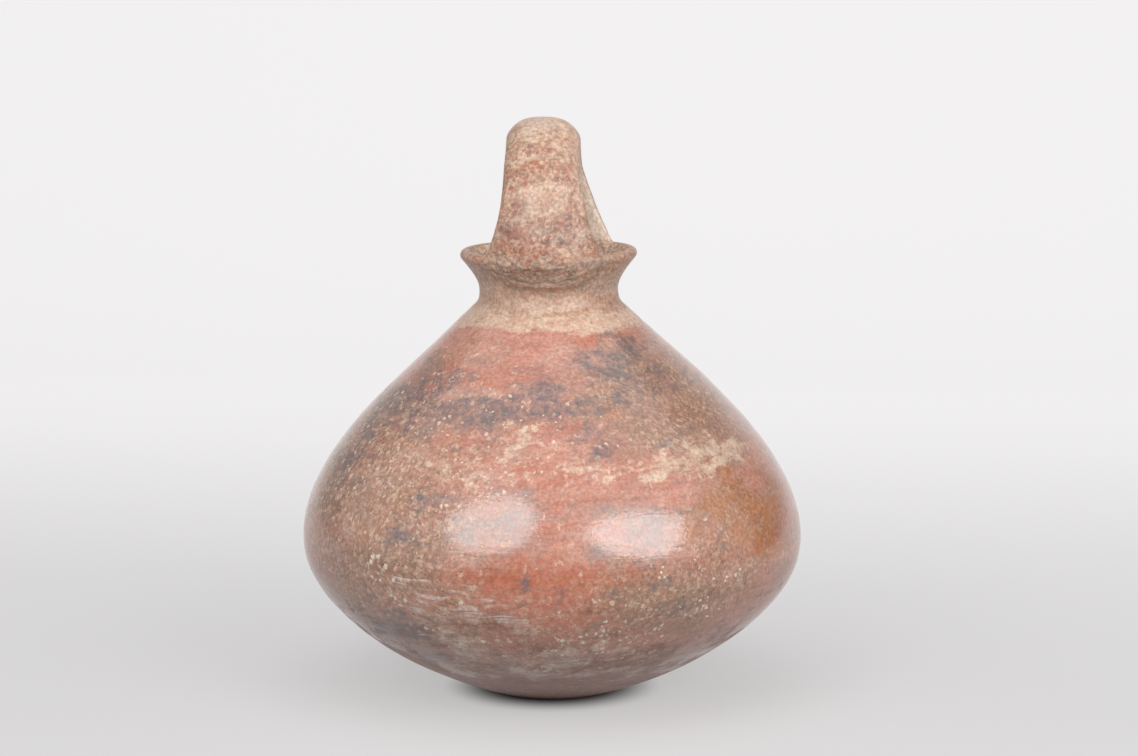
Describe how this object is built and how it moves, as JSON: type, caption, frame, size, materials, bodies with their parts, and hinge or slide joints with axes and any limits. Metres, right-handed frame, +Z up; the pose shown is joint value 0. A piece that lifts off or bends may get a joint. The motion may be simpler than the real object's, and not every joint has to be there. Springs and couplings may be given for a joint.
{
  "type": "handled jar",
  "caption": "Squat hand-built earthenware jar with a wide belly, narrow flared mouth and a strap handle arching over it, for carrying and pouring liquids.",
  "frame": {"origin": "centre of the flat base, on the surface the jar stands on", "axes": "+Z up along the axis of the belly; the handle arches over the mouth along Y, front foot at -Y, and its strap is broad along X"},
  "size_m": [0.24, 0.24, 0.2762],
  "materials": {
    "burnished_slip": "red slip rubbed to a low sheen in level strokes, clouded with smoke-grey, cream and ochre, pitted and scuffed",
    "wiped_clay": "brown clay smoothed with a wet hand, matt, with grit and finger drag"
  },
  "bodies": {
    "root": {"base_pad": "wiped_clay", "lower_coil_1": "burnished_slip", "lower_coil_2": "burnished_slip", "lower_coil_3": "burnished_slip", "belly_coil": "burnished_slip", "shoulder_coil_1": "burnished_slip", "shoulder_coil_2": "burnished_slip", "shoulder_coil_3": "burnished_slip", "shoulder_coil_4": "burnished_slip", "neck_collar": "burnished_slip", "rim_coil": "wiped_clay", "handle_strap": "burnished_slip", "front_lute": "wiped_clay", "rear_lute": "wiped_clay"}
  },
  "joints": []
}
